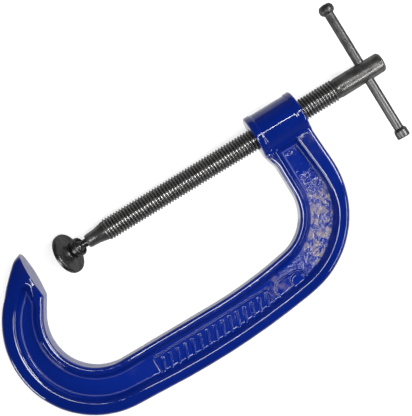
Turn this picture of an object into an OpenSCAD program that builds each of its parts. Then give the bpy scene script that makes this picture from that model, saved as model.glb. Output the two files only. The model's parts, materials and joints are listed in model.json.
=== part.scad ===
// C clamp (G clamp): a cast C frame, a threaded spindle with a ball nose,
// a swivel pad crimped over the ball, and a tommy bar that slides in the spindle head.
//
// The screw axis is the X axis and points from the anvil to the handle.
// The anvil face lies in the plane X = 0, the spine is on the -Y side,
// and the frame is symmetrical about the plane Z = 0.

/* [Frame] */
// Distance from the anvil face to the near end of the screw boss
jaw_gap = 160; // [120:1:200]
// Depth of the throat, from the screw axis to the deepest point of the inner edge
throat = 74.25; // [60:0.25:90]
// Depth of the spine, measured at the corners of its outline
spine_depth = 31.75; // [26:0.25:40]
// Thickness of the frame across its rims
flange_t = 17.7; // [14:0.1:22]
// Thickness of the sunk web between the rims
web_t = 9; // [6:0.5:12]
// Width of the rim along the outer edge
outer_rim = 6.4; // [4:0.1:8]
// Width of the rim along the inner edge
inner_rim = 5.2; // [3:0.1:7]

/* [Anvil] */
// Half-width of the anvil face
anvil_r = 15; // [13:0.5:17]
// Thickness of the anvil face
anvil_t = 27; // [22:0.5:29]

/* [Boss] */
// Diameter of the screw boss
boss_d = 28; // [26:0.5:32]
// Length of the screw boss
boss_len = 32.7; // [28:0.1:40]
// Width of the raised collar at each end of the boss
collar_len = 4.2; // [3:0.1:6]
// Height of the collars above the boss
collar_h = 0.5; // [0.3:0.1:1]

/* [Screw] */
// Major diameter of the thread
thread_d = 14; // [12:0.5:14]
// Distance between neighbouring thread crests
pitch = 2; // [1.5:0.25:2.5]
// Distance from the anvil face to the first thread crest
thread_start = 52; // [46:1:70]
// Length of the threaded stretch
thread_len = 167; // [130:1:180]
// Diameter of the plain head
head_d = 13; // [11.5:0.1:13.5]
// Length of the plain head
head_len = 33.5; // [28:0.5:40]
// Distance from the end of the thread to the axis of the tommy bar
bar_offset = 21; // [16:0.5:24]

/* [Pad] */
// Diameter of the swivel pad
pad_d = 26.1; // [22:0.1:30]
// Diameter of the ball that carries the pad
ball_d = 9.4; // [9:0.1:10]
// Angle by which the pad hangs down when it is free
droop = 26; // [0:1:26]

/* [Tommy bar] */
// Diameter of the bar
bar_d = 6; // [5:0.1:7]
// Length of the bar with both its knobs
bar_len = 96.1; // [80:0.1:120]
// Height of the formed knob above the screw axis
bar_reach = 48.7; // [42:0.1:60]
// Diameter of the formed knob
knob_d = 9.7; // [8.5:0.1:12]
// Diameter of the pressed-on end cap
cap_d = 8.4; // [8:0.1:11]

/* [Hidden] */
$fn = 96;

// radial clearance of every piece that turns or slides in another
fit = 0.05;
// small length by which a cutting tool runs past the face it cuts
over = 1;
// degrees of arc for each straight step of a rounded outline
arc_step = 4;

enamel = [0.03, 0.12, 0.58];
steel = [0.30, 0.30, 0.31];
bright_steel = [0.45, 0.45, 0.45];

// Frame: corner points and radii of the outer and inner edges, from anvil to boss
boss_end = jaw_gap + boss_len;
leg_in = jaw_gap + 2.2;
belly = throat + spine_depth;
heel_r = 57;
back_r = 480;
shoulder_r = 61;
throat_heel_r = 31;
throat_back_r = 280;
throat_shoulder_r = 28.5;
leg_top = -8;
tip_r = 12;
outer_edge = [
    [[0, anvil_r], 0],
    [[-4.5, anvil_r - 1.9], tip_r],
    [[-113.6, 12.45 - belly], heel_r],
    [[0.48 * boss_end, -belly], back_r],
    [[boss_end + 3.9, 14.95 - belly], shoulder_r],
    [[boss_end, leg_top], 0],
];
inner_edge = [
    [[0, -anvil_r], 0],
    [[-34.1, 2.8 - throat], throat_heel_r],
    [[0.69 * jaw_gap, 0.4 - throat], throat_back_r],
    [[leg_in - 0.2, 9.85 - throat], throat_shoulder_r],
    [[leg_in, leg_top], 0],
];
// sunk web: where its pocket stops below the boss, beside the anvil and along the leg
pocket_top = -12.5;
pocket_heel = [[-20.5, 8], [-12.5, -6], [-9, -17], [-2, -34]];
pocket_leg = [boss_end - 9.5, boss_end - 4.2];
pocket_leg_y = -42;
// web between the boss and the inner edge, rounded into the boss face
boss_fillet = 14;
fillet_y = -24;
// length over which the anvil narrows to the rims
anvil_taper = 16;
bore_chamfer = 0.8;

// Cast decoration on the web: a raised panel with slanting ribs, and a round button
panel_h = 0.8;
panel_x = [36, 118.5];
panel_y = [-96.4, -81.6];
panel_corner = 2;
panel_rim = 1.2;
rib_size = [1.7, 9.5];
rib_slant = 20;
rib_count = 15;
badge_x = [121.5, 144];
badge_y = [-94.7, -81.3];
badge_mid = (badge_y[0] + badge_y[1]) / 2;
button_d = 9.4;
button_h = 1.3;

// Screw
thread_depth = 1.1;
thread_end = thread_start + thread_len;
head_end = thread_end + head_len;
bar_x = thread_end + bar_offset;
head_tip_d = head_d - 0.8;
head_round = 1.6;
nose_len = 13;

// Ball stud: the ball, its neck, and the pin that the spindle turns on
ball_x = thread_start - 20.3;
neck_d = 5.2;
neck_end = thread_start - nose_len;
stud_pin_d = 4;
stud_pin_len = 8;

// Swivel pad: heights are measured from the ball centre, + away from the pad face
pad_face = -8.9;
pad_rim_t = 2.7;
pad_edge = 0.5;
// hub: a waist above the disc, and the ring that is crimped over the ball
waist_d = 10.4;
waist_foot = -3.4;
ring_d = 11.8;
ring_foot = -0.6;
hub_top = 3.2;
// the ring's mouth opens outwards, so that the neck can tilt in it
mouth_d = 9.3;
mouth_len = 1;
mouth_slope = 0.45;

// Tommy bar: the formed knob is at +Y and the cap is at -Y
knob_len = 6.6;
cap_len = 6.3;
spigot_d = 4.4;
spigot_len = 4.6;
cap_face_y = bar_reach - bar_len + cap_len;

function unit(v) = v / norm(v);
function left_of(v) = [-v.y, v.x];
function cross_z(a, b) = a.x * b.y - a.y * b.x;
function heading(v) = atan2(v.y, v.x);
// the same angle, between 0 and 360 degrees
function full_turn(a) = a < 0 ? a + 360 : a;

// point where the sides a-p and p-b cross after both have moved d to their left
function moved_corner(a, p, b, d) =
    let (u = unit(p - a), v = unit(b - p), m = left_of(u) * d, n = left_of(v) * d)
    p + m + u * cross_z(n - m, v) / cross_z(u, v);

// the edge moved d to its left, with every corner kept concentric
function moved_edge(edge, d) =
    let (last = len(edge) - 1)
    [for (i = [0 : last])
        let (p = edge[i][0])
        i == 0 ? [p + left_of(unit(edge[1][0] - p)) * d, 0]
        : i == last ? [p + left_of(unit(p - edge[last - 1][0])) * d, 0]
        : [moved_corner(edge[i - 1][0], p, edge[i + 1][0], d), max(edge[i][1] - d, 0.1)]];

// points along a corner of radius r at p, where the edge turns to its left
function corner_arc(a, p, b, r) =
    let (
        u = unit(p - a),
        turn = full_turn(heading(b - p) - heading(u)),
        centre = p - u * r * tan(turn / 2) + left_of(u) * r,
        steps = ceil(turn / arc_step)
    )
    [for (k = [0 : steps])
        let (angle = heading(u) - 90 + turn * k / steps)
        centre + r * [cos(angle), sin(angle)]];

// points along an edge with its corners rounded
function rounded_edge(edge) =
    let (last = len(edge) - 1)
    [for (i = [0 : last])
        each (i == 0 || i == last ? [edge[i][0]]
            : corner_arc(edge[i - 1][0], edge[i][0], edge[i + 1][0], edge[i][1]))];

function reversed(list) = [for (i = [len(list) - 1 : -1 : 0]) list[i]];

// area between the outer and inner edges after each has moved into the metal
module c_outline(outer_inset = 0, inner_inset = 0) {
    polygon(concat(
        rounded_edge(moved_edge(outer_edge, outer_inset)),
        reversed(rounded_edge(moved_edge(inner_edge, -inner_inset)))
    ));
}

// solid of revolution about the X axis, from [radius, x] points
module turned(profile) {
    rotate([90, 0, 90]) rotate_extrude() polygon(profile);
}

// cylinder along X from x0 to x1
module rod_x(d, x0, x1) {
    translate([x0, 0, 0]) rotate([0, 90, 0]) cylinder(d = d, h = x1 - x0);
}

module round_rect(x, y, r) {
    for (cx = [x[0] + r, x[1] - r], cy = [y[0] + r, y[1] - r])
        translate([cx, cy]) circle(r);
    translate([x[0] + r, y[0]]) square([x[1] - x[0] - 2 * r, y[1] - y[0]]);
    translate([x[0], y[0] + r]) square([x[1] - x[0], y[1] - y[0] - 2 * r]);
}

// sunk area of the web, on one side of the frame
module pocket_area() {
    difference() {
        c_outline(outer_rim, inner_rim);
        translate([jaw_gap - over, pocket_top]) square([boss_len + 2 * over, -pocket_top]);
        polygon(concat(pocket_heel, [[40, -34], [40, 30], [-20.5, 30]]));
        polygon([
            [pocket_leg[0], pocket_top + over], [pocket_leg[0], pocket_top],
            [pocket_leg[1], pocket_leg_y], [boss_end + 4, pocket_leg_y],
            [boss_end + 4, pocket_top + over],
        ]);
    }
}

// raised panel, ribs, badge ring and button on one side of the web
module web_decoration() {
    rib_step = (panel_x[1] - panel_x[0] - 8) / (rib_count - 1);
    rib_mid = (panel_y[0] + panel_y[1]) / 2;
    linear_extrude(panel_h) {
        difference() {
            round_rect(panel_x, panel_y, panel_corner);
            round_rect(panel_x + panel_rim * [1, -1], panel_y + panel_rim * [1, -1], panel_rim);
        }
        for (i = [0 : rib_count - 1])
            translate([panel_x[0] + 4 + i * rib_step, rib_mid])
                rotate(-rib_slant) square(rib_size, center = true);
        difference() {
            round_rect(badge_x, badge_y, badge_y[1] - badge_mid - 0.1);
            round_rect(badge_x + panel_rim * [1, -1], badge_y + panel_rim * [1, -1],
                badge_y[1] - badge_mid - panel_rim - 0.1);
        }
    }
    translate([badge_x[1] + badge_mid - badge_y[1], badge_mid])
        cylinder(d = button_d, h = button_h);
}

// block behind the anvil face: the outline, cut by a cone that narrows to the rims
module anvil() {
    half = anvil_t / 2;
    intersection() {
        linear_extrude(anvil_t, center = true) c_outline();
        translate([-anvil_taper, 0, 0]) rotate([0, 90, 0])
            cylinder(r1 = flange_t / 2 - 1, r2 = anvil_r, h = anvil_taper);
        translate([-anvil_taper, -anvil_r, -half]) cube([anvil_taper, 2 * anvil_r, anvil_t]);
    }
}

module boss() {
    rod_x(boss_d, jaw_gap, boss_end);
    for (x = [jaw_gap, boss_end - collar_len])
        rod_x(boss_d + 2 * collar_h, x, x + collar_len);
}

// web corner between the inner edge of the leg and the near face of the boss
module boss_corner() {
    linear_extrude(flange_t, center = true)
        difference() {
            translate([jaw_gap, fillet_y]) square([leg_in - jaw_gap + over, 18]);
            translate([leg_in - boss_fillet, fillet_y]) circle(boss_fillet);
        }
}

module screw_bore() {
    bore_r = thread_d / 2 + fit;
    turned([
        [0, jaw_gap - over],
        [bore_r + bore_chamfer + over, jaw_gap - over],
        [bore_r, jaw_gap + bore_chamfer],
        [bore_r, boss_end - bore_chamfer],
        [bore_r + bore_chamfer + over, boss_end + over],
        [0, boss_end + over],
    ]);
}

module frame() {
    color(enamel)
        difference() {
            union() {
                difference() {
                    linear_extrude(flange_t, center = true) c_outline();
                    for (side = [0, 1])
                        mirror([0, 0, side]) translate([0, 0, web_t / 2])
                            linear_extrude(flange_t) pocket_area();
                }
                anvil();
                boss();
                boss_corner();
                for (side = [0, 1])
                    mirror([0, 0, side]) translate([0, 0, web_t / 2 - 0.1]) web_decoration();
            }
            screw_bore();
        }
}

module ball_stud() {
    color(steel)
        union() {
            translate([ball_x, 0, 0]) sphere(d = ball_d);
            rod_x(neck_d, ball_x, neck_end);
            rod_x(stud_pin_d, neck_end - over, neck_end + stud_pin_len);
        }
}

// ridges that stand for the thread: one crest for each pitch
function thread_profile() =
    let (
        crest = thread_d / 2,
        root = crest - thread_depth,
        turns = floor(thread_len / pitch)
    )
    [for (i = [0 : turns - 1])
        let (x = thread_start + i * pitch)
        each [[root, x + 0.15 * pitch], [crest, x + 0.44 * pitch],
            [crest, x + 0.56 * pitch], [root, x + 0.85 * pitch]]];

module screw() {
    root = thread_d / 2 - thread_depth;
    color(steel)
        difference() {
            turned(concat(
                [[0, neck_end], [3.9, neck_end], [4.35, neck_end + 1.6], [4.45, neck_end + 7],
                    [root, thread_start - 0.5]],
                thread_profile(),
                [[root, thread_end], [head_d / 2, thread_end + 0.6],
                    [head_d / 2, bar_x], [head_tip_d / 2, head_end - head_round],
                    [head_tip_d / 2 - head_round / 3, head_end - head_round / 3],
                    [head_tip_d / 2 - head_round, head_end], [0, head_end]]
            ));
            rod_x(stud_pin_d + 2 * fit, neck_end - over, neck_end + stud_pin_len + 0.2);
            translate([bar_x, 0, 0]) rotate([90, 0, 0])
                cylinder(d = bar_d + 2 * fit, h = 2 * head_d, center = true);
        }
}

// pad with its axis along Z, the ball centre at the origin and the face below
module upright_pad() {
    rim_r = pad_d / 2;
    waist_r = waist_d / 2;
    ring_r = ring_d / 2;
    back = pad_face + pad_rim_t;
    difference() {
        rotate_extrude() polygon([
            [0, pad_face], [rim_r - pad_edge, pad_face], [rim_r, pad_face + pad_edge],
            [rim_r, back - pad_edge], [rim_r - pad_edge, back],
            [waist_r + 2.8, waist_foot - 1.3], [waist_r, waist_foot],
            [waist_r, ring_foot - 0.5], [ring_r, ring_foot], [ring_r, hub_top - 0.9],
            [ring_r - 0.7, hub_top], [0, hub_top],
        ]);
        sphere(d = ball_d + 2 * fit);
        translate([0, 0, hub_top - mouth_len])
            cylinder(r1 = mouth_d / 2 - mouth_slope * mouth_len,
                r2 = mouth_d / 2 + mouth_slope * over, h = mouth_len + over);
    }
}

module swivel_pad() {
    color(steel)
        translate([ball_x, 0, 0]) rotate([0, 90 - droop, 0]) upright_pad();
}

// bar, formed knob and the spigot for the end cap, along Y
module tommy_bar() {
    knob_r = knob_d / 2;
    knob_foot = bar_reach - knob_len;
    color(bright_steel)
        translate([bar_x, 0, 0]) rotate([-90, 0, 0]) rotate_extrude() polygon([
            [0, cap_face_y - spigot_len], [spigot_d / 2, cap_face_y - spigot_len],
            [spigot_d / 2, cap_face_y], [bar_d / 2, cap_face_y],
            [bar_d / 2, knob_foot], [knob_r - 0.5, knob_foot + 0.6],
            [knob_r, knob_foot + 1.8], [knob_r, bar_reach - 2.6],
            [knob_r - 0.7, bar_reach - 1.1], [knob_r - 2.2, bar_reach - 0.2], [0, bar_reach],
        ]);
}

// cap with a blind bore, pressed over the spigot of the bar
module bar_end_cap() {
    cap_r = cap_d / 2;
    cap_end = cap_face_y - cap_len;
    color(bright_steel)
        translate([bar_x, 0, 0]) rotate([-90, 0, 0])
            difference() {
                rotate_extrude() polygon([
                    [0, cap_end], [cap_r - 1, cap_end], [cap_r, cap_end + 1],
                    [cap_r, cap_face_y - 1.9], [cap_r - 0.5, cap_face_y - 1.5],
                    [cap_r - 0.5, cap_face_y], [0, cap_face_y],
                ]);
                translate([0, 0, cap_face_y - spigot_len])
                    cylinder(d = spigot_d, h = spigot_len + over);
            }
}

frame();
ball_stud();
screw();
swivel_pad();
tommy_bar();
bar_end_cap();
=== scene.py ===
import json
import math

import bpy
import numpy as np
from mathutils import Matrix, Vector


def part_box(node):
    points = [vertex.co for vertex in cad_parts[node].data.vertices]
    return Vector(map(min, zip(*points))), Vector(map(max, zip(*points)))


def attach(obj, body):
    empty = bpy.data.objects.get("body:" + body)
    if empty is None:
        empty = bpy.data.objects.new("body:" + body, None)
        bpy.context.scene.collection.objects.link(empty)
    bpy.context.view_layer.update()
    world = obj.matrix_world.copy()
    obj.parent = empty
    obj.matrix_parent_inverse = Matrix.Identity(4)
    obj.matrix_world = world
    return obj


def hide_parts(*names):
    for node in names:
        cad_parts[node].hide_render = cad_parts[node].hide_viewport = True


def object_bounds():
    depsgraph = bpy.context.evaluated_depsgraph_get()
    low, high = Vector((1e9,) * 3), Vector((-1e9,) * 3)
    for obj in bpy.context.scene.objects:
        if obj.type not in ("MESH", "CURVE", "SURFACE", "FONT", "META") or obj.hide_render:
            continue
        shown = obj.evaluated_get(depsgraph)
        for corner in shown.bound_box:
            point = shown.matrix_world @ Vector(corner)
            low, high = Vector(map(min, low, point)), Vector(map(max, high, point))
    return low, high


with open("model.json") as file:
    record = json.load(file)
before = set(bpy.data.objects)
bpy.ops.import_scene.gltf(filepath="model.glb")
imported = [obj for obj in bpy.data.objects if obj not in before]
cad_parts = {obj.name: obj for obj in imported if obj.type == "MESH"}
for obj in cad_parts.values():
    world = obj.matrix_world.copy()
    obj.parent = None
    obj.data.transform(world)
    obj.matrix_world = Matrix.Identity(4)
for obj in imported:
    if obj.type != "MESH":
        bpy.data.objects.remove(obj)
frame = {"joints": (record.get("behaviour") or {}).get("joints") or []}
cad_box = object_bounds()

# Every length in the shape code is in millimetres; meshes are scaled to metres when they are made.
MM = 0.001
FAR = 1e3  # among distances, "no limit here"
JOINT_POS = {j["name"]: j.get("pos_m") for j in frame["joints"]}
FRAME_BOX = [np.array(corner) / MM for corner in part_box("frame")]
SCREW_BOX = [np.array(corner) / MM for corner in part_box("screw")]
BAR_BOX = [np.array(corner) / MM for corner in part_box("tommy_bar")]
CAP_BOX = [np.array(corner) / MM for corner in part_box("bar_end_cap")]
BAR_X = (BAR_BOX[0][0] + BAR_BOX[1][0]) / 2

# ---------------------------------------------------------------- frame casting

# Outline corners and their radii, the same as in the CAD: metal lies on the left of the
# outer edge and on the right of the inner edge.
OUTER_EDGE = [
    ((0, 15), 0), ((-4.5, 13.1), 12), ((-113.6, -93.55), 57),
    ((92.5, -106), 480), ((196.6, -91.05), 61), ((192.7, -8), 0),
]
INNER_EDGE = [
    ((0, -15), 0), ((-34.1, -71.45), 31), ((110.4, -73.85), 280),
    ((162.0, -64.4), 28.5), ((162.2, -8), 0),
]
# the anvil's details are looked for at a smaller x than ANVIL_ZONE, the boss's and the leg's
# at a larger x than theirs, and the end of the pocket and the face at the anvil above these y
ANVIL_ZONE, BOSS_ZONE, LEG_ZONE = 60, 100, 140
ANVIL_POCKET_LOW, ANVIL_FACE_LOW = -35, -40

# slab: half thicknesses, widths of the rims, and the radii of its edges
RIM_HALF, WEB_HALF = 8.85, 4.5
OUTER_RIM, INNER_RIM, HEEL_EXTRA = 7.5, 4.3, 1.1
HEEL_FROM, HEEL_FADE = 40, 50
EDGE_R, OUTER_EDGE_MORE, TIP_EDGE_R = 2.1, 0.9, 0.6
RIM_BLEND, BOSS_BLEND = 10, 8  # over which the edges change from inner to outer, and to the boss
SIDE_DRAFT, PARTING_H, PARTING_W = 0.012, 0.09, 0.5

# sunk pocket: walls, corners seen from the side, and their radii
WALL_SLOPE = math.radians(35)
WEB_FOOT_R, POCKET_EDGE_R, POCKET_EDGE_MORE = 0.5, 0.4, 0.7
ANVIL_WALL, ANVIL_WALL_TOP = ((-5.6, -16), (-4.8, -4)), -2.6
LEG_WALL, POCKET_TOP = ((185.4, -12), (189.5, -42)), -12.8
POCKET_SPINE_R, POCKET_TIP_R, POCKET_ANVIL_R, POCKET_LEG_R, POCKET_TOP_R = 3.0, 4.2, 3.5, 12.0, 2.5

# boss, its collars, its bore, and the corner between its face and the leg
BOSS_START, BOSS_END = 160.0, 192.7
BOSS_R, COLLAR_R, COLLAR_LEN, BORE_R = 14.0, 14.43, 4.2, 7.06
BOSS_EDGE_R, COLLAR_EDGE_R, BORE_EDGE_R, COLLAR_FOOT_R, BOSS_FOOT_R = 1.2, 0.9, 0.8, 1.0, 1.4
BOSS_CORNER, BOSS_CORNER_R, BOSS_CORNER_EDGE_R = (148.2, -24), 14, 1.5
SLAB_TOP, SLAB_TOP_R = -5, 1.0

# anvil: half sizes of its face, and the flare behind it
FACE_HALF_Y, FACE_HALF_Z, FACE_EDGE_R = 15.3, 13.5, 0.4
FLARE_LEN, FLARE_POWER, FLARE_BACK = 16.0, 1.6, 24
FLARE_EDGE_R, FLARE_FOOT_R = 1.2, 2.0

# raised decoration of the web
PANEL, PANEL_R = (36, 118.5, -96.4, -81.6), 2.0  # x and y ranges
BADGE = (128.2, 137.3, -88.0, 6.7)  # x range and y of its middle line, and its radius
BORDER, BUTTON_R = 1.2, 4.7
RIB_COUNT, RIB_SLANT, RIB_MARGIN = 15, math.radians(20), 4
RIB_HALF, RIB_R = (0.85, 4.75), 0.4
DECO_H, DECO_DRAFT, DECO_SPREAD = 0.8, 0.35, 0.1
DECO_EDGE_R, DECO_FOOT_R = 0.22, 0.25
BUTTON_H, BUTTON_EDGE_R = 1.3, 0.6

# unevenness of the cast surface, and the depth within which machined faces have none
WAVE, RIPPLE, SHRINK = 0.04, 0.012, 0.082
FACE_EVEN, BORE_EVEN = 2, 0.6

# the mesh that the casting is made from
NET_STEP, NET_MARGIN, NET_HALF_Z = 0.5, 1.0, 15.25
MOST_TRIANGLES = 190_000

# ---------------------------------------------------------------- steel pieces

THREAD_R, ROOT_R, PITCH = 7.0, 6.1, 2.0
THREAD_START, THREAD_END = 52.0, 219.0
# one turn of the thread's section: share of the pitch, share of the depth
THREAD_SECTION = [
    (0.0, 0.0), (0.1, 0.06), (0.36, 0.93), (0.43, 1.0), (0.57, 1.0), (0.64, 0.93), (0.9, 0.06),
]
THREAD_SKIN = 0.15  # how far the strip's foot is sunk under the root
TILT_X = JOINT_POS["pad_tilt"][0] / MM
PAD_DROOP = math.radians(-26)
BAR_R, BAR_HOLE_R, FOOT_R, FOOT_LEN = 3.0, 3.05, 2.2, 4.6

# ---------------------------------------------------------------- distances


def meet(p, q, r):
    """Intersection of two distances, + inside, with the edge rounded to radius r."""
    return np.maximum(np.minimum(p, q), r) - np.hypot(np.maximum(r - p, 0), np.maximum(r - q, 0))


def join(p, q, r):
    """Union of two distances, with the corner between them filled to radius r."""
    return -meet(-p, -q, r)


def stretches(corners):
    """Straight and round stretches of an outline that turns left at every corner."""
    points = [Vector(p) for p, _ in corners]
    ways = [(b - a).normalized() for a, b in zip(points, points[1:])]
    cuts = [-FAR]
    found = []
    for (_, r), p, u, v in zip(corners[1:-1], points[1:-1], ways, ways[1:]):
        cut = r * math.tan(math.acos(u.dot(v)) / 2)
        cuts.append(cut)
        centre = p - u * cut + Vector((-u.y, u.x)) * r
        found.append(("arc", centre, u, v, r))
    cuts.append(-FAR)
    for i, u in enumerate(ways):
        length = (points[i + 1] - points[i]).length
        found.append(("line", points[i], u, cuts[i], length - cuts[i + 1]))
    return found


def edge_distance(parts, x, y):
    """Distance from an outline, + on its left."""
    best, value = np.inf, 0.0
    for kind, p, u, v, w in parts:
        dx, dy = x - p.x, y - p.y
        if kind == "line":
            along, side = dx * u.x + dy * u.y, u.x * dy - u.y * dx
            off = np.hypot(side, along - np.clip(along, v, w))
            signed = np.copysign(off, side)
        else:
            signed = w - np.hypot(dx, dy)
            on_arc = (dx * u.x + dy * u.y >= 0) & (dx * v.x + dy * v.y <= 0)
            off = np.where(on_arc, np.abs(signed), np.inf)
        value = np.where(off < best, signed, value)
        best = np.minimum(off, best)
    return value


def line_distance(a, b, x, y):
    """Distance from the line a to b, + on its left."""
    u = (Vector(b) - Vector(a)).normalized()
    return u.x * (y - a[1]) - u.y * (x - a[0])


def box_distance(x, y, half_x, half_y, r):
    """Distance inside a rounded rectangle round the origin, + inside."""
    px, py = np.abs(x) - half_x + r, np.abs(y) - half_y + r
    return r - np.hypot(np.maximum(px, 0), np.maximum(py, 0)) - np.minimum(np.maximum(px, py), 0)


OUTER_PARTS, INNER_PARTS = stretches(OUTER_EDGE), stretches(INNER_EDGE)


def pocket_plan(x, y, outer, inner):
    """How far a point of the side view is inside the sunk web's outline, at the rim's height."""
    heel_side = np.clip((HEEL_FROM - x) / HEEL_FADE, 0, 1)
    outer_side = outer - OUTER_RIM - HEEL_EXTRA * heel_side
    plan = meet(outer_side, inner - INNER_RIM, POCKET_SPINE_R)
    anvil_end = meet(line_distance(*ANVIL_WALL, x, y), ANVIL_WALL_TOP - y, POCKET_TIP_R)
    at_anvil = (x < ANVIL_ZONE) & (y > ANVIL_POCKET_LOW)
    plan = meet(plan, np.where(at_anvil, anvil_end, FAR), POCKET_ANVIL_R)
    at_leg = x > LEG_ZONE
    top = np.where(at_leg, POCKET_TOP - y, FAR)
    leg = np.where(at_leg, -line_distance(*LEG_WALL, x, y), FAR)
    return meet(meet(plan, leg, POCKET_LEG_R), top, POCKET_TOP_R)


def decoration(x, y, height):
    """Raised panel with slanting ribs, and a badge ring with a button, on the web."""
    cx, cy = (PANEL[0] + PANEL[1]) / 2, (PANEL[2] + PANEL[3]) / 2
    half_x, half_y = (PANEL[1] - PANEL[0]) / 2, (PANEL[3] - PANEL[2]) / 2
    panel = box_distance(x - cx, y - cy, half_x, half_y, PANEL_R)
    shape = np.minimum(panel, BORDER - panel)
    step = (2 * half_x - 2 * RIB_MARGIN) / (RIB_COUNT - 1)
    first = PANEL[0] + RIB_MARGIN
    lean = x - (y - cy) * math.tan(RIB_SLANT)
    nearest = first + step * np.clip(np.round((lean - first) / step), 0, RIB_COUNT - 1)
    c, s = math.cos(RIB_SLANT), math.sin(RIB_SLANT)
    rx, ry = x - nearest, y - cy
    ribs = box_distance(rx * c - ry * s, rx * s + ry * c, *RIB_HALF, RIB_R)
    x0, x1, badge_y, badge_r = BADGE
    badge = badge_r - np.hypot(x - np.clip(x, x0, x1), y - badge_y)
    shape = np.maximum(np.maximum(shape, ribs), np.minimum(badge, BORDER - badge))
    draft = DECO_DRAFT * height
    raised = meet(shape + DECO_SPREAD - draft, DECO_H - height, DECO_EDGE_R)
    on_button = BUTTON_R - np.hypot(x - x1, y - badge_y) - draft
    return np.maximum(raised, meet(on_button, BUTTON_H - height, BUTTON_EDGE_R))


def unevenness(x, y, z):
    """Slow waves of a sand casting's surface, which stay below the CAD's surface."""
    wave = np.sin(0.31 * x + 0.17 * y + 0.9) * np.sin(0.23 * y - 0.11 * x + 0.35 * z)
    ripple = np.sin(0.71 * x - 0.53 * y + 1.7) * np.sin(0.62 * y + 0.43 * x - 0.5 * z + 0.4)
    return WAVE * wave + RIPPLE * ripple - SHRINK


def frame_field(x, y, z):
    """Distance from the casting's surface, + in the metal."""
    az = np.abs(z)
    outer = edge_distance(OUTER_PARTS, x, y)
    inner = -edge_distance(INNER_PARTS, x, y)
    plan = pocket_plan(x, y, outer, inner)
    at_leg, near_anvil = x > LEG_ZONE, x < ANVIL_ZONE
    at_face = near_anvil & (y > ANVIL_FACE_LOW)

    # side view, with a round corner between the boss's face and the leg, draft and a parting line
    corner_x, corner_y = BOSS_CORNER
    corner = np.hypot(x - corner_x, y - corner_y) - BOSS_CORNER_R
    corner = meet(corner, x - BOSS_START, BOSS_CORNER_EDGE_R)
    inner = np.where(at_leg & (y > corner_y), corner, inner)
    below_boss = np.where(at_leg, SLAB_TOP - y, FAR)
    side = meet(np.minimum(outer, inner), below_boss, SLAB_TOP_R)
    side = side - SIDE_DRAFT * az - PARTING_H * (1 - np.exp(-((az / PARTING_W) ** 2)))

    # slab, with its outer edge rounder than its inner one
    by_outer = np.clip((inner - outer) / RIM_BLEND + 0.5, 0, 1)
    by_outer = by_outer * np.clip((-y - BOSS_BLEND) / BOSS_BLEND, 0, 1)
    tip = (1 - np.hypot(np.maximum(y, 0) / FACE_HALF_Y, z / FACE_HALF_Z)) * FACE_HALF_Z
    slab = meet(side, RIM_HALF - az, EDGE_R + OUTER_EDGE_MORE * by_outer)
    slab = meet(slab, np.where(near_anvil, tip, FAR), TIP_EDGE_R)

    # flared anvil
    t = x / FLARE_LEN + 1
    swell = (FACE_HALF_Z - RIM_HALF) * np.abs(t) ** FLARE_POWER
    half = np.maximum(RIM_HALF + np.where(t > 0, swell, 10 * t), 0.5)
    flare = (1 - np.hypot(y / FACE_HALF_Y, z / half)) * half
    in_flare = (x > -FLARE_BACK) & near_anvil
    flare = np.where(in_flare, np.minimum(flare, x + FLARE_BACK), -FAR)
    metal = join(slab, meet(flare, side, FLARE_EDGE_R), FLARE_FOOT_R)

    # sunk web with slanted walls, and its raised decoration
    wall = plan * math.cos(WALL_SLOPE) - (RIM_HALF - az) * math.sin(WALL_SLOPE)
    web = join(WEB_HALF - az, -wall, WEB_FOOT_R)
    metal = meet(metal, web, POCKET_EDGE_R + POCKET_EDGE_MORE * by_outer)
    raised = np.where(plan > 1, decoration(x, y, az - WEB_HALF), -FAR)
    metal = join(metal, raised, DECO_FOOT_R)
    metal = meet(metal, np.where(at_face, -x, FAR), FACE_EDGE_R)

    # boss with its two collars and the bore
    rad = np.hypot(y, z)
    ends = np.minimum(x - BOSS_START, BOSS_END - x)
    boss = meet(BOSS_R - rad, ends, BOSS_EDGE_R)
    collar = np.where(ends > COLLAR_LEN / 2, COLLAR_LEN - ends, ends)
    boss = join(boss, meet(COLLAR_R - rad, collar, COLLAR_EDGE_R), COLLAR_FOOT_R)
    at_boss = x > BOSS_ZONE
    metal = join(metal, np.where(at_boss, boss, -FAR), BOSS_FOOT_R)
    metal = meet(metal, np.where(at_boss, rad - BORE_R, FAR), BORE_EDGE_R)

    # the anvil's face and the bore are machined, so they stay even
    cast = np.where(at_face, np.clip(-x / FACE_EVEN, 0, 1), 1.0)
    in_bore = at_boss & (rad < BORE_R + BORE_EVEN)
    return metal + unevenness(x, y, z) * cast * ~in_bore


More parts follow.
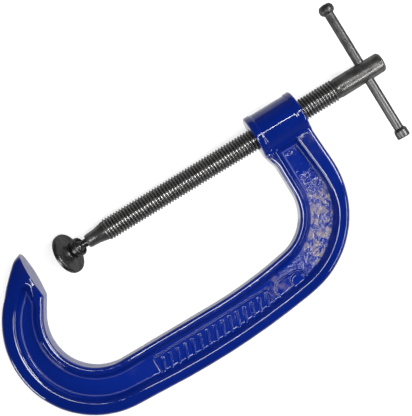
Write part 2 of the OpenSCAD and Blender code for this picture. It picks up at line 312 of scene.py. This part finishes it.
def surface_net(field, low, high, step):
    """Mesh of the surface where field is 0: one point in each cell that it crosses."""
    axes = [np.arange(a, b + step, step) for a, b in zip(low, high)]
    x, y, z = np.meshgrid(*axes, indexing="ij", sparse=True)
    value = field(x, y, z).astype(np.float32)
    shape = tuple(n - 1 for n in value.shape)

    def corner(a, di, dj, dk):
        return a[di:di + shape[0], dj:dj + shape[1], dk:dk + shape[2]]

    offsets = [(i, j, k) for i in (0, 1) for j in (0, 1) for k in (0, 1)]
    inside = value > 0
    count = sum(corner(inside, *o).astype(np.int8) for o in offsets)
    cells = np.argwhere((count > 0) & (count < 8))
    number = np.full(shape, -1, np.int64)
    number[tuple(cells.T)] = np.arange(len(cells))

    total, hits = np.zeros((len(cells), 3)), np.zeros(len(cells))
    for a in offsets:
        for axis in range(3):
            if a[axis]:
                continue
            b = list(a)
            b[axis] = 1
            va = value[tuple((cells + a).T)]
            vb = value[tuple((cells + b).T)]
            crossed = (va > 0) != (vb > 0)
            share = np.where(crossed, va / np.where(crossed, va - vb, 1), 0)
            spot = np.tile(np.array(a, float), (len(cells), 1))
            spot[:, axis] = share
            total += spot * crossed[:, None]
            hits += crossed
    points = np.array([a[0] for a in axes]) + step * (cells + total / hits[:, None])

    faces = []
    for axis in range(3):
        b, c = (axis + 1) % 3, (axis + 2) % 3
        first, second = [slice(None)] * 3, [slice(None)] * 3
        first[axis], second[axis] = slice(0, -1), slice(1, None)
        here, there = inside[tuple(first)], inside[tuple(second)]
        edges = np.argwhere(here != there)
        edges = edges[(edges[:, b] > 0) & (edges[:, c] > 0)]
        edges = edges[(edges[:, b] < shape[b]) & (edges[:, c] < shape[c])]
        leaving = here[tuple(edges.T)]
        around = []
        for db, dc in ((1, 1), (0, 1), (0, 0), (1, 0)):
            cell = edges.copy()
            cell[:, b] -= db
            cell[:, c] -= dc
            around.append(number[tuple(cell.T)])
        quad = np.stack(around, 1)
        quad[~leaving] = quad[~leaving][:, ::-1]
        faces.append(quad)
    return points, np.concatenate(faces)


def gradient(field, points, h=0.02):
    """Slope of a field at points, by central differences."""
    x, y, z = points.T
    return np.stack([
        field(x + h, y, z) - field(x - h, y, z),
        field(x, y + h, z) - field(x, y - h, z),
        field(x, y, z + h) - field(x, y, z - h),
    ], 1) / (2 * h)


def settle(field, points, rounds=2, longest=0.4, least_slope=0.25):
    """Moves points onto the surface, and gives their outward normals."""
    for _ in range(rounds):
        slope = gradient(field, points)
        value = field(*points.T)
        move = value / np.maximum((slope ** 2).sum(1), least_slope)
        points = points - slope * np.clip(move, -longest, longest)[:, None]
    slope = gradient(field, points)
    return points, -slope / np.maximum(np.linalg.norm(slope, axis=1), 1e-6)[:, None]


# ---------------------------------------------------------------- meshes

def mesh_object(name, points, faces):
    """New object with the mesh of the given points, in millimetres, and faces."""
    mesh = bpy.data.meshes.new(name)
    mesh.from_pydata((np.asarray(points) * MM).tolist(), [], [list(f) for f in faces])
    mesh.validate()
    mesh.update()
    piece = bpy.data.objects.new(name, mesh)
    bpy.context.scene.collection.objects.link(piece)
    return piece


def apply_modifiers(piece):
    """Replaces the piece's mesh by the one its modifiers make."""
    bpy.context.view_layer.update()
    shown = piece.evaluated_get(bpy.context.evaluated_depsgraph_get())
    mesh = bpy.data.meshes.new_from_object(shown)
    piece.modifiers.clear()
    old, piece.data = piece.data, mesh
    bpy.data.meshes.remove(old)


def smooth(piece, angle):
    """Smooth shading, with the edges sharper than the angle in degrees left sharp."""
    piece.data.shade_smooth()
    piece.data.set_sharp_from_angle(angle=math.radians(angle))


def place_piece(piece, x, turn, axis):
    """Turns a piece made about the X axis, and moves it along X; lengths in millimetres."""
    piece.data.transform(Matrix.Translation((x * MM, 0, 0)) @ Matrix.Rotation(turn, 4, axis))


def combine(piece, other, operation):
    """Boolean of two closed pieces; the second one is used up."""
    cut = piece.modifiers.new("cut", "BOOLEAN")
    cut.operation, cut.solver, cut.object = operation, "EXACT", other
    apply_modifiers(piece)
    bpy.data.objects.remove(other)


def rounded(corners, steps=5):
    """Profile points from (radius, height, fillet) corners, with an arc at each filleted one."""
    points = []
    last = len(corners) - 1
    for i, (r, h, fillet) in enumerate(corners):
        here = Vector((r, h))
        if i in (0, last) or fillet == 0:
            points.append(here)
            continue
        to_a = (Vector(corners[i - 1][:2]) - here).normalized()
        to_b = (Vector(corners[i + 1][:2]) - here).normalized()
        half = math.acos(max(-1, min(1, to_a.dot(to_b)))) / 2
        start, end = here + to_a * fillet / math.tan(half), here + to_b * fillet / math.tan(half)
        centre = here + (to_a + to_b).normalized() * fillet / math.sin(half)
        for k in range(steps + 1):
            way = (start - centre).lerp(end - centre, k / steps).normalized()
            points.append(centre + way * fillet)
    return points


def densified(points, longest):
    """Profile points with no gap longer than the given length."""
    result = [points[0]]
    for a, b in zip(points, points[1:]):
        parts = max(1, math.ceil((b - a).length / longest))
        result += [a.lerp(b, k / parts) for k in range(1, parts + 1)]
    return result


def lathe(name, points, segments, ripple=0.0):
    """Solid of revolution about the X axis, closed at the axis or round a bore."""
    verts, rings, faces = [], [], []
    for r, h in points:
        if r < 1e-6:
            rings.append([len(verts)] * segments)
            verts.append((h, 0, 0))
            continue
        rings.append(range(len(verts), len(verts) + segments))
        for j in range(segments):
            a = 2 * math.pi * j / segments
            rr = r + ripple * math.sin(0.9 * h + 2 * a) * math.sin(0.37 * h - 3 * a + 1)
            verts.append((h, rr * math.cos(a), rr * math.sin(a)))
    pairs = list(zip(rings, rings[1:]))
    if points[0][0] > 1e-6:
        pairs.append((rings[-1], rings[0]))
    for low, high in pairs:
        for j in range(segments):
            k = (j + 1) % segments
            quad = [low[j], low[k], high[k], high[j]]
            face = [v for n, v in enumerate(quad) if v != quad[n - 1]]
            if len(face) > 2:
                faces.append(face)
    return mesh_object(name, verts, faces)


# ---------------------------------------------------------------- materials

class Nodes:
    """A material's node tree, with short calls for the nodes used here."""

    def __init__(self, name):
        self.material = bpy.data.materials.new(name)
        self.material.use_nodes = True
        self.tree = self.material.node_tree
        self.shader = self.tree.nodes["Principled BSDF"]
        self.place = self.add("ShaderNodeTexCoord").outputs["Object"]

    def add(self, kind, inputs=(), **settings):
        node = self.tree.nodes.new(kind)
        for key, value in settings.items():
            setattr(node, key, value)
        for key, value in dict(inputs).items():
            self.put(node, key, value)
        return node

    def put(self, node, key, value):
        if isinstance(value, bpy.types.NodeSocket):
            self.tree.links.new(value, node.inputs[key])
        else:
            node.inputs[key].default_value = value

    def set(self, **inputs):
        for key, value in inputs.items():
            self.put(self.shader, key.replace("_", " "), value)

    def math(self, operation, *values):
        return self.add("ShaderNodeMath", enumerate(values), operation=operation).outputs[0]

    def product(self, value, *others):
        for other in others:
            value = self.math("MULTIPLY", value, other)
        return value

    def total(self, value, *others):
        for other in others:
            value = self.math("ADD", value, other)
        return value

    def noise(self, scale, detail=3.0, rough=0.55, stretch=None, distortion=0.0):
        """Noise from 0 to 1; scale is in cycles for each metre."""
        place = self.place
        if stretch:
            place = self.add("ShaderNodeMapping", {"Vector": place, "Scale": stretch}).outputs[0]
        return self.add("ShaderNodeTexNoise", {
            "Vector": place, "Scale": scale, "Detail": detail, "Roughness": rough,
            "Distortion": distortion,
        }).outputs["Fac"]

    def remap(self, value, low, high, to_low=0.0, to_high=1.0):
        """Smooth step from to_low, where value is low, to to_high, where it is high."""
        return self.add("ShaderNodeMapRange", {
            "Value": value, "From Min": low, "From Max": high, "To Min": to_low, "To Max": to_high,
        }, interpolation_type="SMOOTHSTEP").outputs[0]

    def mix(self, share, a, b):
        node = self.add("ShaderNodeMix", data_type="RGBA")
        for socket, value in zip((0, 6, 7), (share, a, b)):
            self.put(node, socket, value)
        return node.outputs[2]

    def bump(self, height, distance, normal=None):
        """Normals of a relief; distance is its depth in millimetres."""
        node = self.add("ShaderNodeBump", {
            "Height": height, "Distance": distance * MM, "Strength": 1.0,
        })
        if normal:
            self.put(node, "Normal", normal)
        return node.outputs[0]

    def axes(self):
        """The object's own x, y and z, in millimetres."""
        scaled = self.add("ShaderNodeVectorMath", {0: self.place, 1: (1 / MM,) * 3},
                          operation="MULTIPLY")
        return self.add("ShaderNodeSeparateXYZ", {0: scaled.outputs[0]}).outputs


def rgb(r, g, b):
    return (r, g, b, 1.0)


ENAMEL_DARK, ENAMEL_LIGHT = rgb(0.0008, 0.0075, 0.096), rgb(0.0012, 0.0089, 0.115)
# the sandy colour is worn paint, and partly a painted tan glare on the rough web
ENAMEL_WEB, SAND_AND_GLARE = rgb(0.0016, 0.0130, 0.162), rgb(0.20, 0.165, 0.15)
# thread crests: worn metal that also carries a painted highlight; grooves: painted shade
STEEL_CREST_SHEEN, STEEL_GROOVE_SHADE = rgb(0.20, 0.197, 0.193), rgb(0.035, 0.035, 0.035)
STEEL_TINT = rgb(0.4, 0.4, 0.4)


def enamel():
    """Thick gloss enamel over a sand casting: flowed and wavy, and grainy on the web."""
    m = Nodes("blue_enamel")
    x, y, z = m.axes()
    deep = m.math("ABSOLUTE", z)
    facing = m.add("ShaderNodeTexCoord").outputs["Normal"]
    # 1 where the surface is level, 0 where it is upright
    level = m.math("ABSOLUTE", m.add("ShaderNodeSeparateXYZ", {0: facing}).outputs[2])

    # where the surface is: the whole pocket, its floor, the rough floor round the bend, and the
    # pocket away from the heel
    on_web = m.product(m.remap(deep, 7.6, 5.2), m.remap(level, 0.3, 0.5))
    low_web = m.product(m.remap(deep, 5.8, 4.9), m.remap(level, 0.6, 0.85))
    coarse = m.product(low_web, m.remap(x, 118, 158), m.remap(y, -25, -50))
    calm = m.product(on_web, m.remap(x, 30, 70))

    # colour, paler in the pocket, and at the bend and beside the badge a sandy tone that is partly
    # worn paint and partly painted tan glare
    tone = m.mix(m.remap(m.noise(28, detail=2), 0.3, 0.7), ENAMEL_DARK, ENAMEL_LIGHT)
    tone = m.mix(m.product(on_web, 0.55), tone, ENAMEL_WEB)
    wear_and_sheen = m.remap(m.noise(230, detail=4, rough=0.65, distortion=0.5), 0.46, 0.57)
    at_bend = m.product(m.remap(x, 146, 156), m.remap(y, -38, -52))
    by_badge = m.product(m.remap(x, 117, 121), m.remap(x, 133, 126), 0.45)
    wear_and_sheen = m.product(wear_and_sheen, m.math("MAXIMUM", at_bend, by_badge), low_web)
    # the sandy patches mixed in here are partly painted tan glare
    m.set(Base_Color=m.mix(m.product(wear_and_sheen, 0.65), tone, SAND_AND_GLARE), Metallic=0.0)

    # gloss, dulled by dust at the foot of the pocket's walls and by linishing on the sides
    foot = m.product(m.remap(level, 0.9985, 0.995), m.remap(level, 0.78, 0.9),
                     m.remap(deep, 5.4, 5.1))
    off_panel = m.math("MAXIMUM", m.remap(x, 34, 28), m.remap(x, 140, 146))
    flank = m.product(m.remap(level, 0.30, 0.12), m.remap(x, 159, 156))
    m.set(Roughness=m.total(
        m.remap(m.noise(160), 0.35, 0.7, 0.06, 0.10), m.product(coarse, 0.1),
        m.product(flank, 0.24), m.product(foot, off_panel, 0.5)))

    # relief: slow flow of the paint, and pits of the casting that are deepest on the rough floor
    flow = m.bump(m.noise(95, detail=2, rough=0.5), 0.06)
    grain = m.noise(520, detail=4, rough=0.62, distortion=0.4)
    lumps = m.noise(260, detail=2, rough=0.5, distortion=0.8)
    pits = m.math("SUBTRACT", m.total(m.product(grain, 0.5), lumps), 0.75)
    amount = m.total(m.product(coarse, 0.75), m.product(calm, 0.08), 0.03)
    m.set(Normal=m.bump(m.product(pits, amount), 0.55, normal=flow), IOR=1.46)
    return m.material


def steel(name, dark, light, rough, streaks=None, thread=False):
    """Oiled dark steel: mottled, faintly turned, brighter on worn thread crests that also carry a
    painted highlight, and with painted shade in the thread's grooves.
    """
    m = Nodes(name)
    x, y, z = m.axes()
    mottle = m.noise(210, detail=4, rough=0.6)
    fine = m.noise(1400, detail=2)
    share = m.remap(m.total(m.product(mottle, 0.7), m.product(fine, 0.3)), 0.36, 0.66)
    colour = m.mix(share, dark, light)
    roughness = m.remap(mottle, 0.3, 0.7, rough - 0.04, rough + 0.06)
    if thread:
        radius = m.math("SQRT", m.total(m.product(y, y), m.product(z, z)))
        threaded = m.remap(x, THREAD_END + 1.5, THREAD_END + 0.5)
        patchy = m.remap(m.noise(320), 0.25, 0.6, 0.35, 1.0)
        # the crests are brighter as worn metal and partly as a painted highlight
        wear_and_sheen = m.product(m.remap(radius, THREAD_R - 0.45, THREAD_R - 0.05), threaded, patchy)
        # painted shade: the thread's roots are darkened by depth
        groove_shade = m.product(m.remap(radius, THREAD_R - 0.5, ROOT_R), threaded,
                           m.remap(x, THREAD_START - 4, THREAD_START))
        colour = m.mix(wear_and_sheen, colour, STEEL_CREST_SHEEN)
        colour = m.mix(m.product(groove_shade, 0.5), colour, STEEL_GROOVE_SHADE)
        roughness = m.math("SUBTRACT", roughness, m.product(wear_and_sheen, 0.12))
    m.set(Base_Color=colour, Metallic=0.85, Roughness=roughness, Specular_Tint=STEEL_TINT)
    normal = m.bump(m.total(mottle, m.product(fine, 0.3)), 0.008)
    if streaks:
        normal = m.bump(m.noise(1100, detail=2, stretch=streaks), 0.004, normal=normal)
    m.set(Normal=normal)
    return m.material


def floor_finish():
    """Matt pale floor that is lit evenly enough to look white."""
    m = Nodes("pale_floor")
    tint = m.mix(m.noise(6), rgb(0.30, 0.30, 0.30), rgb(0.32, 0.32, 0.32))
    m.set(Base_Color=tint, Roughness=0.9, Specular_IOR_Level=0.0)
    m.set(Emission_Color=rgb(1, 1, 1), Emission_Strength=0.76)
    return m.material


# ---------------------------------------------------------------- pieces

def finish_piece(piece, material, body, slot, *nodes):
    """Gives a piece its material and body, and lets it stand for its CAD nodes; the slot is not
    used.
    """
    piece.data.materials.clear()
    piece.data.materials.append(material)
    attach(piece, body)
    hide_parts(*nodes)


def build_frame():
    """The casting as one surface: a net round its field, thinned and settled onto it."""
    low, high = FRAME_BOX[0] - NET_MARGIN, FRAME_BOX[1] + NET_MARGIN
    low[2], high[2] = -NET_HALF_Z, NET_HALF_Z
    points, faces = surface_net(frame_field, low, high, NET_STEP)
    points, _ = settle(frame_field, points)
    piece = mesh_object("c_frame", points, faces)
    thin = piece.modifiers.new("thin", "DECIMATE")
    thin.ratio = MOST_TRIANGLES / (2 * len(faces))
    apply_modifiers(piece)
    mesh = piece.data
    at = np.zeros(len(mesh.vertices) * 3)
    mesh.vertices.foreach_get("co", at)
    points, normals = settle(frame_field, at.reshape(-1, 3) / MM)
    mesh.vertices.foreach_set("co", (points * MM).ravel())
    mesh.update()
    mesh.shade_smooth()
    mesh.normals_split_custom_set_from_vertices(normals.tolist())
    return piece


def build_thread(segments=60):
    """Right-hand thread as one strip that joins itself a pitch further on at each turn."""
    per = len(THREAD_SECTION)
    turns = round((THREAD_END - THREAD_START) / PITCH) + 1
    rows = turns * per
    verts, faces = [], []
    for i in range(rows + 1):
        share, depth = THREAD_SECTION[i % per]
        for j in range(segments):
            h = THREAD_START - 1.0 + PITCH * (i // per + share + j / segments)
            # the thread rises from the root at one end and sinks back into it at the other
            fade = min(1, max(0, (h - THREAD_START + 0.6) / 2.4))
            fade = min(fade, max(0, (THREAD_END + 0.4 - h) / 1.8))
            fade = fade * fade * (3 - 2 * fade)
            r = ROOT_R - THREAD_SKIN + (THREAD_R - ROOT_R + THREAD_SKIN) * depth * fade
            a = 2 * math.pi * j / segments
            verts.append((h, r * math.cos(a), r * math.sin(a)))

    def at(i, j):
        return (i + per) * segments if j == segments else i * segments + j

    for i in range(rows):
        for j in range(segments):
            if j == segments - 1 and i + per + 1 > rows:
                continue
            faces.append([at(i, j), at(i + 1, j), at(i + 1, j + 1), at(i, j + 1)])
    # closing fans: each end's rim runs round a row and back along the seam
    first = [at(0, j) for j in range(segments)] + [at(i, 0) for i in range(per, 0, -1)]
    last_row = [at(rows, j) for j in range(segments - 1, -1, -1)]
    last = last_row + [at(i, segments - 1) for i in range(rows - per, rows)]
    for loop in (first, last):
        centre = np.mean([verts[v] for v in loop], 0)
        centre[1:] = 0
        hub = len(verts)
        verts.append(tuple(centre))
        for a, b in zip(loop, loop[1:] + loop[:1]):
            faces.append([hub, a, b])
    return mesh_object("thread", verts, faces)


def build_screw():
    """The spindle: its thread, joined to a turned nose and head, and drilled for the bar."""
    nose_start, head_end = SCREW_BOX[0][0], SCREW_BOX[1][0]
    thread = build_thread()
    nose = lathe("screw_nose", densified(rounded([
        (2.05, nose_start, 0), (3.95, nose_start, 0.35), (4.35, nose_start + 1.6, 1.2),
        (4.7, nose_start + 7, 8), (5.6, nose_start + 11.2, 4),
        (ROOT_R + 0.02, THREAD_START + 2.5, 3), (ROOT_R - 0.4, THREAD_START + 6, 0),
        (3.0, THREAD_START + 6, 0), (2.05, THREAD_START - 2, 0),
    ]), 1.0), 72)
    head = lathe("screw_head", densified(rounded([
        (0, THREAD_END - 5, 0), (ROOT_R - 0.4, THREAD_END - 5, 0),
        (ROOT_R + 0.02, THREAD_END - 1.5, 1), (6.1, THREAD_END + 0.2, 2),
        (6.5, THREAD_END + 1.8, 3), (6.5, BAR_X, 0), (6.25, head_end - 1.2, 0.6),
        (5.4, head_end, 0.6), (0, head_end, 0),
    ]), 1.2), 96)
    combine(thread, nose, "UNION")
    combine(thread, head, "UNION")
    drill = lathe("drill", [Vector(p) for p in (
        (0, -9), (BAR_HOLE_R, -9), (BAR_HOLE_R, 9), (0, 9))], 64)
    place_piece(drill, BAR_X, math.pi / 2, "Z")
    combine(thread, drill, "DIFFERENCE")
    thread.name = "spindle_screw"
    smooth(thread, 38)
    return thread


def build_ball_stud():
    """The ball nose, with a neck and the pin that the spindle turns on."""
    ball_r, neck_r, neck_end = 4.7, 2.6, SCREW_BOX[0][0]
    pin_r, pin_end = 2.0, neck_end + 8
    meeting = math.sqrt(ball_r ** 2 - neck_r ** 2)
    last_angle = math.pi - math.asin(neck_r / ball_r) - 0.22
    arc = [Vector((ball_r * math.sin(a), TILT_X - ball_r * math.cos(a)))
           for a in np.linspace(0, last_angle, 22)]
    arc[0].x = 0
    neck = rounded([
        (arc[-1].x, arc[-1].y, 0), (neck_r - 0.05, TILT_X + meeting + 0.2, 0.9),
        (neck_r, neck_end - 0.1, 0), (neck_r, neck_end, 0), (pin_r, neck_end, 0),
        (pin_r, pin_end, 0.3), (0, pin_end, 0),
    ])
    piece = lathe("ball_nose", densified(arc + neck[1:], 0.8), 64)
    smooth(piece, 40)
    return piece


def build_pad():
    """The pad at rest. Its profile's heights are from the ball's centre, + away from the face."""
    socket_r, mouth_angle = 4.75, math.pi - 1.09
    face, disc_r, collar_r = -8.88, 13.0, 5.2
    socket = [Vector((socket_r * math.sin(a), -socket_r * math.cos(a)))
              for a in np.linspace(mouth_angle, 0, 18)]
    socket[-1].x = 0
    back = rounded([
        (0, face, 0), (disc_r, face, 0.55), (disc_r, -6.2, 1.0), (8.0, -4.7, 5),
        (collar_r, -3.5, 1.2), (collar_r, -1.15, 0.4), (5.88, -0.6, 0.35), (5.88, 3.18, 1.1),
        (4.65, 3.18, 0.25), (socket[0].x, socket[0].y, 0),
    ])
    piece = lathe("swivel_pad_disc", densified(back, 1.2) + socket[1:], 96)
    place_piece(piece, TILT_X, PAD_DROOP, "Y")
    smooth(piece, 40)
    return piece


def turn_to_bar(piece):
    """From the X axis to the bar's axis, which is parallel to Y."""
    place_piece(piece, BAR_X, math.pi / 2, "Z")
    smooth(piece, 35)
    return piece


def build_bar():
    """The bar with its formed knob; its foot is reduced inside the cap."""
    top, foot = BAR_BOX[1][1], BAR_BOX[0][1]
    profile = rounded([
        (0, foot, 0), (FOOT_R, foot, 0.3), (FOOT_R, foot + FOOT_LEN, 0),
        (BAR_R, foot + FOOT_LEN, 0.2), (BAR_R, top - 6.8, 0.6), (4.3, top - 5.9, 1.2),
        (4.85, top - 4.6, 1.4), (4.85, top - 2.6, 1.8), (3.6, top - 0.6, 1.8), (0, top, 0),
    ])
    return turn_to_bar(lathe("tommy_bar_rod", densified(profile, 1.5), 64, ripple=0.015))


def build_cap():
    """The cap on the bar's foot."""
    low, high = CAP_BOX[0][1], CAP_BOX[1][1]
    profile = rounded([
        (0, low, 0), (4.2, low, 0.8), (4.2, high - 1.7, 0.9), (3.5, high, 0.4),
        (FOOT_R, high, 0.2), (FOOT_R, high - FOOT_LEN, 0), (0, high - FOOT_LEN, 0),
    ])
    return turn_to_bar(lathe("tommy_bar_cap", densified(profile, 1.2), 64))


blue = enamel()
spindle_steel = steel("spindle_steel", rgb(0.08, 0.079, 0.078), rgb(0.13, 0.128, 0.126), 0.30,
                      thread=True)
pad_steel = steel("pad_steel", rgb(0.035, 0.035, 0.035), rgb(0.062, 0.061, 0.060), 0.25)
rod_steel = steel("rod_steel", rgb(0.050, 0.050, 0.050), rgb(0.078, 0.078, 0.077), 0.34,
                  streaks=(1.0, 0.06, 1.0))

finish_piece(build_frame(), blue, "frame", "enamel", "frame")
finish_piece(build_screw(), spindle_steel, "spindle", "dark_steel", "screw")
finish_piece(build_ball_stud(), pad_steel, "carriage", "dark_steel", "ball_stud")
finish_piece(build_pad(), pad_steel, "pad", "dark_steel", "swivel_pad")
finish_piece(build_bar(), rod_steel, "handle", "bar_steel", "tommy_bar")
finish_piece(build_cap(), rod_steel, "handle", "bar_steel", "bar_end_cap")

# ---------------------------------------------------------------- floor, light and camera

FLOOR_HALF = 6000
LAMP_HEIGHT = 300
# lamps that look straight down: x range, y range and brightness
OVERHEAD_LAMPS = {
    "throat_panel": ((-10, 158), (-86, -14), 24),
    "boss_strip": ((188, 290), (1, 9), 65),
    "head_panel": ((300, 350), (-70, -6), 5),
}
# lamps beside the clamp: place, target, size and brightness
SIDE_LAMPS = {
    "right_side": ((510, -40, 310), (190, -50, 0), (180, 100), 32),
    "bend_side": ((408, -285, 330), (185, -90, 0), (290, 60), 22),
    "left_side": ((-420, -130, 160), (-20, -50, 0), (220, 130), 20),
}
# brightness of the surroundings below and above the horizon, and where each one ends
SKY_LOW, SKY_LOW_END = rgb(0.16, 0.16, 0.16), 0.25
SKY_HIGH, SKY_HIGH_START = rgb(0.03, 0.03, 0.035), 0.75
CAMERA_PLACE, CAMERA_TURN = (0.1017, -0.0191, 0.5982), (0.41, -0.934, -31.565)
SENSOR_WIDTH, FOCAL_LENGTH = 36, 83.87


def build_floor():
    """Wide floor that the clamp lies on."""
    z = cad_box[0].z / MM
    corners = [(-1, -1), (1, -1), (1, 1), (-1, 1)]
    floor = mesh_object("floor", [(x * FLOOR_HALF, y * FLOOR_HALF, z) for x, y in corners],
                        [[0, 1, 2, 3]])
    floor.data.materials.append(floor_finish())


def softbox(name, place, target, size, radiance):
    """Rectangular light at place (mm) that faces target; power follows from its brightness."""
    lamp = bpy.data.lights.new(name, "AREA")
    lamp.shape, lamp.size, lamp.size_y = "RECTANGLE", size[0] * MM, size[1] * MM
    lamp.energy = radiance * math.pi * lamp.size * lamp.size_y
    holder = bpy.data.objects.new(name, lamp)
    holder.location = Vector(place) * MM
    holder.rotation_euler = (Vector(target) - Vector(place)).to_track_quat("-Z", "Y").to_euler()
    holder.visible_camera = False
    bpy.context.scene.collection.objects.link(holder)


def overhead(name, x_range, y_range, radiance):
    """Softbox that looks straight down on a rectangle of the given ranges."""
    x, y = sum(x_range) / 2, sum(y_range) / 2
    size = (x_range[1] - x_range[0], y_range[1] - y_range[0])
    softbox(name, (x, y, LAMP_HEIGHT), (x, y, 0), size, radiance)


def surroundings():
    """Dim studio round the clamp, a little lighter below the horizon than above it."""
    world = bpy.data.worlds.new("studio")
    bpy.context.scene.world = world
    world.use_nodes = True
    tree = world.node_tree
    ray = tree.nodes.new("ShaderNodeTexCoord")
    split = tree.nodes.new("ShaderNodeSeparateXYZ")
    ramp = tree.nodes.new("ShaderNodeValToRGB")
    tree.links.new(ray.outputs["Generated"], split.inputs[0])
    tree.links.new(split.outputs[2], ramp.inputs[0])
    tree.links.new(ramp.outputs[0], tree.nodes["Background"].inputs["Color"])
    low, high = ramp.color_ramp.elements
    low.position, low.color = SKY_LOW_END, SKY_LOW
    high.position, high.color = SKY_HIGH_START, SKY_HIGH


def place_camera():
    """Camera that looks almost straight down on the frame's plane, as in the photograph."""
    lens = bpy.data.cameras.new("camera")
    lens.sensor_width, lens.lens = SENSOR_WIDTH, FOCAL_LENGTH
    lens.clip_start, lens.clip_end = 0.01, 50
    camera = bpy.data.objects.new("camera", lens)
    camera.location = CAMERA_PLACE
    camera.rotation_euler = [math.radians(a) for a in CAMERA_TURN]
    bpy.context.scene.collection.objects.link(camera)
    bpy.context.scene.camera = camera
    bpy.context.scene.view_settings.view_transform = "Standard"


build_floor()
for name, setup in OVERHEAD_LAMPS.items():
    overhead(name, *setup)
for name, setup in SIDE_LAMPS.items():
    softbox(name, *setup)
surroundings()
place_camera()
